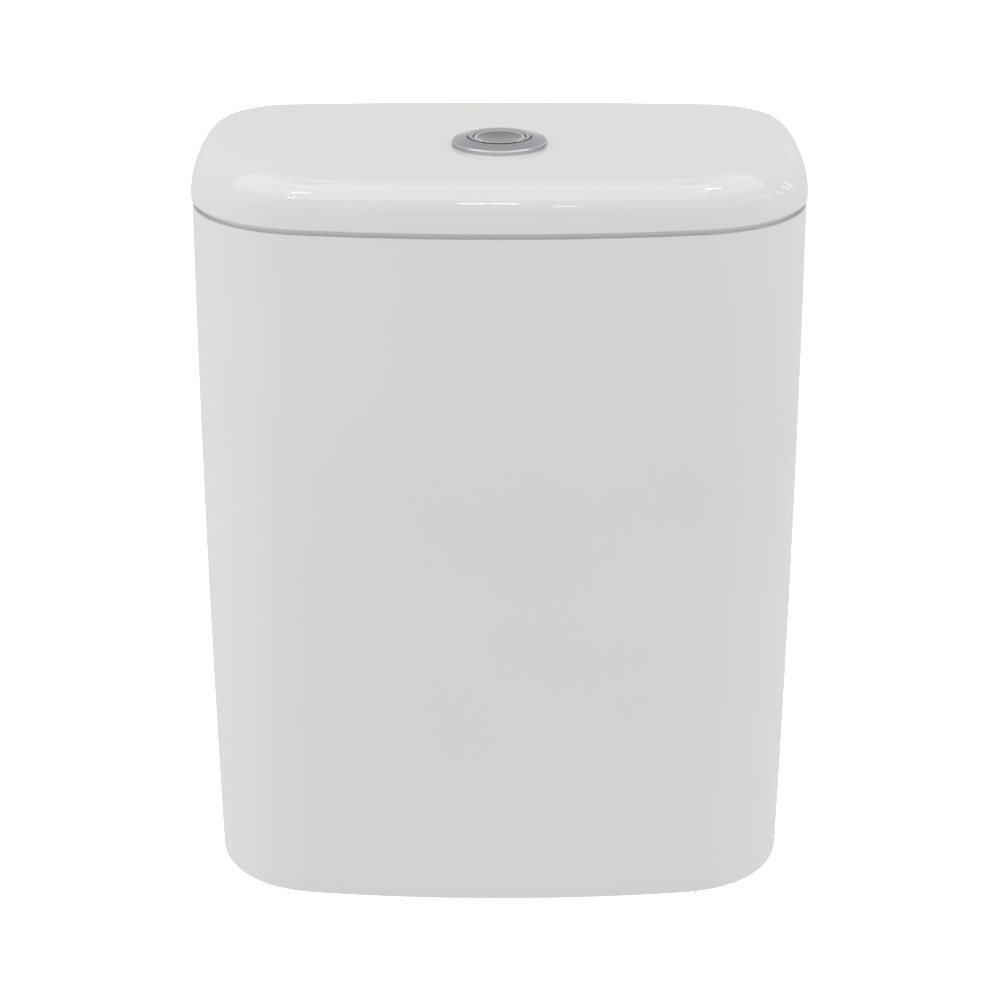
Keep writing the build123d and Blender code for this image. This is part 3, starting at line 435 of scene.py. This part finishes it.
def spring_coil(name, x):
    """A round-wire coil spring under one key, at one length: the real spring shortens as the key goes down, this
    mesh does not.
    """
    mesh = bmesh.new()
    rings = []
    for i in range(SPRING_TURNS * SPRING_STEPS + 1):
        turns = i / SPRING_STEPS
        shifts = (-SPRING_BLEND, 0, SPRING_BLEND)
        near = [spring_rise(min(max(turns + shift, 0), SPRING_TURNS)) for shift in shifts]
        z = SPRING_LOW + SPRING_WIRE / 2 + sum(near) / len(near)
        out = Vector((cos(2 * pi * turns), sin(2 * pi * turns), 0))
        middle = Vector((x, BUTTON_Y + ROD_BACK, z)) + SPRING_RADIUS * out
        ring = []
        for side in range(SPRING_SIDES):
            angle = 2 * pi * side / SPRING_SIDES
            spot = middle + SPRING_WIRE / 2 * (cos(angle) * out + sin(angle) * Vector((0, 0, 1)))
            ring.append(mesh.verts.new(spot * MM))
        rings.append(ring)
    for low, high in zip(rings, rings[1:]):
        for side in range(SPRING_SIDES):
            after = (side + 1) % SPRING_SIDES
            mesh.faces.new((low[side], low[after], high[after], high[side]))
    mesh.faces.new(rings[0])
    mesh.faces.new(rings[-1])
    bmesh.ops.recalc_face_normals(mesh, faces=mesh.faces[:])
    piece = add_piece(name, mesh)
    smooth(piece, COIL_SHARP_TURN)
    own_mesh(piece)
    return piece


full_coil = spring_coil("full_key_coil", -ROD_X)
half_coil = spring_coil("half_key_coil", ROD_X)


# ---------------------------------------------------------------- nodes of the materials
def material(name, colour, roughness=0.5, metallic=0.0, coat=0.0):
    """A principled material and its nodes, with the constants on the shader's own sockets."""
    made = bpy.data.materials.new(name)
    made.use_nodes = True
    tree = made.node_tree
    shader = tree.nodes["Principled BSDF"]
    shader.inputs["Base Color"].default_value = (*colour, 1)
    shader.inputs["Roughness"].default_value = roughness
    shader.inputs["Metallic"].default_value = metallic
    shader.inputs["Coat Weight"].default_value = coat
    return made, tree, shader


def object_place(tree):
    """The place on the piece, in metres of the shared frame."""
    return tree.nodes.new("ShaderNodeTexCoord").outputs["Object"]


def stretched(tree, place, scale):
    """A place whose axes are scaled apart, for grain that runs one way."""
    node = tree.nodes.new("ShaderNodeMapping")
    node.inputs["Scale"].default_value = scale
    tree.links.new(place, node.inputs["Vector"])
    return node.outputs["Vector"]


def noise(tree, place, scale, detail=2.0, roughness=0.5, distortion=0.0):
    """Noise from 0 to 1 at a place, with a scale in cycles for each metre."""
    node = tree.nodes.new("ShaderNodeTexNoise")
    node.inputs["Scale"].default_value = scale
    node.inputs["Detail"].default_value = detail
    node.inputs["Roughness"].default_value = roughness
    node.inputs["Distortion"].default_value = distortion
    tree.links.new(place, node.inputs["Vector"])
    return node.outputs["Fac"]


def ramp(tree, value, stops):
    """A colour ramp over a value: stops are (position, colour)."""
    node = tree.nodes.new("ShaderNodeValToRGB")
    elements = node.color_ramp.elements
    while len(elements) < len(stops):
        elements.new(0.5)
    for element, (position, colour) in zip(elements, stops):
        element.position = position
        element.color = (*colour, 1)
    tree.links.new(value, node.inputs["Fac"])
    return node.outputs["Color"]


def multiply(tree, first, second, factor):
    """The first colour times the second one, as far as the factor says."""
    node = tree.nodes.new("ShaderNodeMix")
    node.data_type = "RGBA"
    node.blend_type = "MULTIPLY"
    node.inputs["Factor"].default_value = factor
    tree.links.new(first, node.inputs["A"])
    tree.links.new(second, node.inputs["B"])
    return node.outputs["Result"]


def bump(tree, shader, value, strength, distance, under=None):
    """Bumps the shader's normal by a value, on top of the bump under it."""
    node = tree.nodes.new("ShaderNodeBump")
    node.inputs["Strength"].default_value = strength
    node.inputs["Distance"].default_value = distance
    tree.links.new(value, node.inputs["Height"])
    if under is not None:
        tree.links.new(under, node.inputs["Normal"])
    tree.links.new(node.outputs["Normal"], shader.inputs["Normal"])
    return node.outputs["Normal"]


def spread(tree, value, low, high, start=0.0, end=1.0):
    """Maps a value from start..end to low..high."""
    node = tree.nodes.new("ShaderNodeMapRange")
    node.inputs["From Min"].default_value = start
    node.inputs["From Max"].default_value = end
    node.inputs["To Min"].default_value = low
    node.inputs["To Max"].default_value = high
    tree.links.new(value, node.inputs["Value"])
    return node.outputs["Result"]


def between_heights(tree, place, low, high):
    """0 at the height low and 1 at the height high, both in millimetres."""
    split = tree.nodes.new("ShaderNodeSeparateXYZ")
    tree.links.new(place, split.inputs["Vector"])
    return spread(tree, split.outputs["Z"], 0.0, 1.0, low * MM, high * MM)


# ---------------------------------------------------------------- materials
def glazed_ceramic():
    """White sanitary ware: a clear glaze over a pale body, with faint drift in tone and a slight ripple."""
    made, tree, shader = material("glazed_ceramic", (0.72, 0.72, 0.712), roughness=0.05, coat=0.35)
    shader.inputs["Coat Roughness"].default_value = 0.03
    shader.inputs["IOR"].default_value = 1.52
    place = object_place(tree)
    drift = noise(tree, place, scale=5.5, detail=3.0, roughness=0.5)
    specks = noise(tree, place, scale=900.0, detail=1.0, roughness=0.4)
    tone = ramp(tree, drift, [(0.3, (0.715, 0.715, 0.706)), (0.7, (0.735, 0.735, 0.728))])
    fleck = ramp(tree, specks, [(0.79, (1, 1, 1)), (0.84, (0.86, 0.84, 0.8))])
    tree.links.new(multiply(tree, tone, fleck, factor=0.35), shader.inputs["Base Color"])
    haze = noise(tree, place, scale=38.0, detail=3.0)
    tree.links.new(spread(tree, haze, 0.04, 0.065), shader.inputs["Roughness"])
    wave = noise(tree, place, scale=26.0, detail=2.0, roughness=0.4)
    ripple = bump(tree, shader, wave, strength=0.008, distance=0.0006)
    bump(tree, shader, noise(tree, place, scale=420.0), strength=0.003, distance=0.0001, under=ripple)
    return made


def bisque():
    """Unglazed ceramic where the pieces stand or rest: matt, a little warmer, with fine grit."""
    made, tree, shader = material("bisque", (0.66, 0.64, 0.58), roughness=0.8)
    place = object_place(tree)
    stain = noise(tree, place, scale=60.0, detail=5.0, roughness=0.6)
    tone = ramp(tree, stain, [(0.3, (0.6, 0.57, 0.5)), (0.7, (0.7, 0.68, 0.63))])
    tree.links.new(tone, shader.inputs["Base Color"])
    tree.links.new(spread(tree, stain, 0.7, 0.9), shader.inputs["Roughness"])
    bump(tree, shader, noise(tree, place, scale=1500.0, detail=3.0), strength=0.25, distance=0.0001)
    return made


CHROME_TINT = (0.99, 0.99, 1.03)


def chrome(name, low, high, stops):
    """Chrome plate whose colour carries painted reflection and shade, in bands that change from the height low to
    high, as its roughness does: stops are (share, brightness, roughness).
    """
    made, tree, shader = material(name, CHROME_TINT, roughness=stops[0][2], metallic=1.0)
    place = object_place(tree)
    height = between_heights(tree, place, low, high)
    # Painted reflection and shade: the chrome's brightness steps with height
    painted_light_tones = [(share, tuple(tint * brightness for tint in CHROME_TINT)) for share, brightness, _ in stops]
    tree.links.new(ramp(tree, height, painted_light_tones), shader.inputs["Base Color"])
    hazes = ramp(tree, height, [(share, (roughness,) * 3) for share, _, roughness in stops])
    patches = noise(tree, place, scale=160.0, detail=4.0, roughness=0.6)
    cloud = ramp(tree, patches, [(0.3, (0.7,) * 3), (0.7, (1.0,) * 3)])
    tree.links.new(multiply(tree, hazes, cloud, factor=1.0), shader.inputs["Roughness"])
    lines = noise(tree, stretched(tree, place, (30.0, 900.0, 30.0)), scale=3.0, detail=3.0)
    bump(tree, shader, lines, strength=0.03, distance=0.00005)
    return made


def moulded(name, colour, roughness):
    """Moulded plastic: fine grain, faint flow marks and a little drift in tone."""
    made, tree, shader = material(name, colour, roughness=roughness)
    place = object_place(tree)
    flow = stretched(tree, place, (1.0, 1.0, 0.25))
    drift = noise(tree, flow, scale=38.0, detail=4.0, roughness=0.55, distortion=0.6)
    dark = tuple(c * 0.9 for c in colour)
    light = tuple(min(c * 1.06, 1) for c in colour)
    tree.links.new(ramp(tree, drift, [(0.3, dark), (0.7, light)]), shader.inputs["Base Color"])
    wear = noise(tree, place, scale=110.0, detail=3.0)
    tree.links.new(spread(tree, wear, roughness - 0.07, roughness + 0.09), shader.inputs["Roughness"])
    marks = bump(tree, shader, drift, strength=0.06, distance=0.0004)
    bump(tree, shader, noise(tree, place, scale=1900.0), strength=0.12, distance=0.00008, under=marks)
    return made


def rubber():
    """Black seal rubber with a grey bloom in patches."""
    made, tree, shader = material("seal_rubber", (0.022, 0.022, 0.024), roughness=0.6)
    place = object_place(tree)
    bloom = noise(tree, place, scale=90.0, detail=5.0, roughness=0.65)
    tone = ramp(tree, bloom, [(0.35, (0.016, 0.016, 0.018)), (0.75, (0.05, 0.05, 0.052))])
    tree.links.new(tone, shader.inputs["Base Color"])
    tree.links.new(spread(tree, bloom, 0.5, 0.75), shader.inputs["Roughness"])
    bump(tree, shader, noise(tree, place, scale=1200.0, detail=3.0), strength=0.2, distance=0.0001)
    return made


def turned_metal(name, colour, roughness, tarnish):
    """Turned metal: fine rings along its axis and darker tarnish in patches."""
    made, tree, shader = material(name, colour, roughness=roughness, metallic=1.0)
    place = object_place(tree)
    patches = noise(tree, place, scale=130.0, detail=5.0, roughness=0.6)
    tree.links.new(ramp(tree, patches, [(0.35, colour), (0.8, tarnish)]), shader.inputs["Base Color"])
    tree.links.new(spread(tree, patches, roughness - 0.06, roughness + 0.14), shader.inputs["Roughness"])
    rings = noise(tree, stretched(tree, place, (20.0, 20.0, 2600.0)), scale=1.0)
    bump(tree, shader, rings, strength=0.12, distance=0.00006)
    return made


ceramic = glazed_ceramic()
bare_ceramic = bisque()
# Heights over which the chrome's painted reflection and shade change, in millimetres above the lid
BEZEL_TOP = 4.7
CRESCENT_LOW = 4.6
DISH_LOW = 3.6
# Painted reflection in the bezel's colour: a lighter band part way up its side and a darker top
ring_chrome_painted_reflection = chrome(
    "ring_chrome_painted_reflection",
    LID_TOP,
    LID_TOP + BEZEL_TOP,
    [(0.0, 0.46, 0.55), (0.36, 0.46, 0.55), (0.42, 0.57, 0.3), (0.56, 0.57, 0.3), (0.62, 0.41, 0.15)],
)
# Painted light: the crescent key's chrome is lighter than the dished key's and darker towards its top
crescent_chrome_painted_light = chrome(
    "crescent_chrome_painted_light", LID_TOP + CRESCENT_LOW, LID_TOP + KEY_TOP, [(0.0, 0.55, 0.2), (0.5, 0.44, 0.15)]
)
# Painted shade over the dished key and a painted highlight along its top edge
dished_chrome_painted_shade_highlight = chrome(
    "dished_chrome_painted_shade_highlight", LID_TOP + DISH_LOW, LID_TOP + KEY_TOP, [(0.9, 0.28, 0.22), (0.97, 0.72, 0.2)]
)
white_plastic = moulded("white_plastic", (0.72, 0.72, 0.69), 0.36)
grey_plastic = moulded("grey_plastic", (0.3, 0.32, 0.34), 0.4)
float_plastic = moulded("float_plastic", (0.1, 0.24, 0.42), 0.33)
seal = rubber()
brass = turned_metal("turned_brass", (0.66, 0.47, 0.2), 0.28, (0.4, 0.26, 0.12))
steel = turned_metal("turned_steel", (0.55, 0.55, 0.56), 0.26, (0.4, 0.4, 0.4))
looks = {
    "chrome": ring_chrome_painted_reflection,
    "white_plastic": white_plastic,
    "grey_plastic": grey_plastic,
    "rubber": seal,
    "brass": brass,
    "steel": steel,
    "float_plastic": float_plastic,
    "ceramic": ceramic,
}
slots = {part["node"]: part["material_slot"] for part in frame["record"]["subparts"]}


def dress(piece, look):
    """Gives a piece one material."""
    piece.data.materials.clear()
    piece.data.materials.append(look)


for node, piece in nodes.items():
    dress(piece, looks[slots[node]])
# The keys take the chrome copies with painted light, shade and highlight
dress(nodes["full_flush_key"], dished_chrome_painted_shade_highlight)
dress(nodes["half_flush_key"], crescent_chrome_painted_light)
for piece, node, body, slot, look in (
    (tank, "tank", "tank_body", "ceramic", ceramic),
    (lid, "lid", "lid_body", "ceramic", ceramic),
    (full_coil, "full_key_spring", "lid_body", "steel", steel),
    (half_coil, "half_key_spring", "lid_body", "steel", steel),
):
    dress(piece, look)
    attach(piece, body)
    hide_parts(node)

LEVEL_NORMAL = 0.9
HEIGHT_LEEWAY = 0.3  # millimetres


def leave_bare(piece, *heights):
    """Leaves level faces at these heights, in millimetres, without glaze."""
    piece.data.materials.append(bare_ceramic)
    for face in piece.data.polygons:
        is_level = abs(face.normal.z) > LEVEL_NORMAL
        if is_level and any(abs(face.center.z / MM - height) < HEIGHT_LEEWAY for height in heights):
            face.material_index = 1


leave_bare(tank, 0, TANK_HEIGHT)
leave_bare(lid, TANK_HEIGHT - LID_RIM_HEIGHT)

# ---------------------------------------------------------------- floor, light and camera, in metres and degrees
FLOOR_REACH = 60.0
FLOOR_GAP = 0.0005
FRONT_SKY = 0.81
BACK_SKY = 0.74
LIT_SPOT = Vector((0, -0.05, 0.35))
# Soft lamps: (name, place, size, watts, direction of the long side)
SOFT_LAMPS = (
    ("fill_left", (-3.6, -1.0, 0.8), (2.4, 2.4), 29, None),
    ("fill_right", (3.6, -1.0, 0.8), (2.4, 2.4), 20, None),
    ("top", (0.0, 0.0, 3.2), (2.4, 1.6), 17, (1, 0, 0)),
)
# The big front light that the lid's front edge mirrors: walls of (name, turn, share of the radiance), each made of
# bands of (name, elevation, angle across, radiance)
LID_FRONT = Vector((0, -0.1, 0.44))
BROW_AWAY = 4.6
BROW_WALLS = (("left", -60, 0.85), ("middle", 0, 1.0), ("right", 60, 0.8))
BROW_HALF_TURN = 30
BROW_BANDS = (
    ("brow_a", 55.5, 13, 0.8),
    ("brow_b", 44.0, 10, 1.7),
    ("brow_c", 29.5, 19, 1.35),
    ("brow_d", 13.0, 14, 0.45),
)
# Narrow lamps that the glaze shows as short bright lines: (name, start, end, height, radiance). Glints a to f stand
# close to the lid's right corner, so that its nearly flat top does not mirror them when it is seen from the side.
STRIPS = (
    ("line_left", (-1.61, -2.55, 1.97), (-1.14, -2.61, 2.06), 0.09, 6.5),
    ("line_left_low", (-1.68, -2.73, 1.58), (-1.40, -2.85, 1.67), 0.1, 9.0),
    ("line_middle", (-0.27, -3.23, 1.37), (0.13, -3.23, 1.37), 0.1, 6.5),
    ("line_middle_right", (0.34, -3.29, 1.14), (0.5, -3.28, 1.14), 0.09, 4.0),
    ("line_right", (1.45, -2.44, 2.42), (2.05, -2.05, 2.28), 0.1, 12.0),
    ("glint_a", (0.2193, -0.1495, 0.4385), (0.2257, -0.1383, 0.4482), 0.0037, 1.0),
    ("glint_b", (0.2357, -0.1253, 0.4478), (0.2428, -0.1152, 0.4348), 0.0037, 1.0),
    ("glint_c", (0.2485, -0.0993, 0.4498), (0.2563, -0.0763, 0.4268), 0.0043, 1.1),
    ("glint_d", (0.2559, -0.0725, 0.4508), (0.2582, -0.0502, 0.4323), 0.0043, 1.4),
    ("glint_e", (0.2574, -0.0463, 0.4508), (0.2577, -0.0214, 0.4324), 0.0043, 1.6),
    ("glint_f", (0.2562, -0.0328, 0.4525), (0.2541, -0.0097, 0.4313), 0.0043, 1.6),
    ("glint_g", (1.29, 3.0, 1.09), (1.89, 2.71, 1.06), 0.08, 0.5),
)
# The camera, from a fit of the model's outline to the photo's
PITCH = radians(18.8164)
AWAY = 2.7024344
AIM = Vector((0, -17.65 * MM, 224 * MM))
SENSOR = 36.0  # millimetres
FOCAL_SHARE = 4.511569  # focal length as a share of the picture's width
SHIFT = (0.0005, 0.0071)
CLIP_END = 100


def plain_floor():
    """A pale floor that gives no light, reflection or shadow to the cistern."""
    mesh = bmesh.new()
    bmesh.ops.create_grid(mesh, x_segments=2, y_segments=2, size=FLOOR_REACH)
    piece = add_piece("floor", mesh)
    piece.location = (0, 0, cad_box[0].z - FLOOR_GAP)
    made, _, shader = material("pale_floor", (0.9, 0.9, 0.9), roughness=0.9)
    shader.inputs["Specular IOR Level"].default_value = 0.1
    shader.inputs["Emission Color"].default_value = (1, 1, 1, 1)
    shader.inputs["Emission Strength"].default_value = 1.0
    piece.data.materials.append(made)
    piece.visible_diffuse = False
    piece.visible_glossy = False
    piece.visible_shadow = False


def studio_world():
    """An even room, a little brighter in front of the cistern than behind it."""
    world = bpy.data.worlds.new("studio")
    world.use_nodes = True
    tree = world.node_tree
    split = tree.nodes.new("ShaderNodeSeparateXYZ")
    tree.links.new(tree.nodes.new("ShaderNodeTexCoord").outputs["Generated"], split.inputs["Vector"])
    shade = spread(tree, split.outputs["Y"], FRONT_SKY, BACK_SKY, -1.0, 1.0)
    tree.links.new(shade, tree.nodes["Background"].inputs["Color"])
    bpy.context.scene.world = world


def lamp(name, place, size, power, across=None, shine=False):
    """A rectangle that faces the cistern, its long side along across. It gives soft light, or only a reflection."""
    light = bpy.data.lights.new(name, "AREA")
    light.shape = "RECTANGLE"
    light.size, light.size_y = size
    light.energy = power
    piece = bpy.data.objects.new(name, light)
    away = (Vector(place) - LIT_SPOT).normalized()
    side = Vector(across) if across is not None else Vector((0, 0, 1)).cross(away)
    side = (side - away * side.dot(away)).normalized()
    turn = Matrix((side, away.cross(side), away)).transposed()
    piece.matrix_world = Matrix.Translation(place) @ turn.to_4x4()
    piece.visible_camera = False
    piece.visible_glossy = shine
    piece.visible_diffuse = not shine
    bpy.context.scene.collection.objects.link(piece)


def mirror_lamp(name, place, size, radiance, across):
    """A lamp that only shows as a reflection, as bright as its radiance says at any size."""
    lamp(name, place, size, pi * size[0] * size[1] * radiance, across, shine=True)


plain_floor()
studio_world()
for name, place, size, watts, across in SOFT_LAMPS:
    lamp(name, place, size, watts, across)
for wall, turn, share in BROW_WALLS:
    for name, rise, angle, radiance in BROW_BANDS:
        facing = Matrix.Rotation(radians(turn), 3, "Z")
        lean = radians(rise)
        place = LID_FRONT + BROW_AWAY * (facing @ Vector((0, -cos(lean), sin(lean))))
        wide = 2 * BROW_AWAY * cos(lean) * tan(radians(BROW_HALF_TURN))
        tall = 2 * BROW_AWAY * tan(radians(angle) / 2)
        mirror_lamp(f"{name}_{wall}", place, (wide, tall), radiance * share, facing @ Vector((1, 0, 0)))
for name, start, end, height, radiance in STRIPS:
    start, end = Vector(start), Vector(end)
    mirror_lamp(name, (start + end) / 2, ((end - start).length, height), radiance, end - start)

camera = bpy.data.cameras.new("camera")
camera.sensor_width = SENSOR
camera.lens = FOCAL_SHARE * SENSOR
camera.shift_x, camera.shift_y = SHIFT
camera.clip_end = CLIP_END
eye = bpy.data.objects.new("camera", camera)
eye.location = AIM + AWAY * Vector((0, -cos(PITCH), sin(PITCH)))
eye.rotation_euler = (pi / 2 - PITCH, 0, 0)
bpy.context.scene.collection.objects.link(eye)
bpy.context.scene.camera = eye
bpy.context.scene.view_settings.view_transform = "Standard"
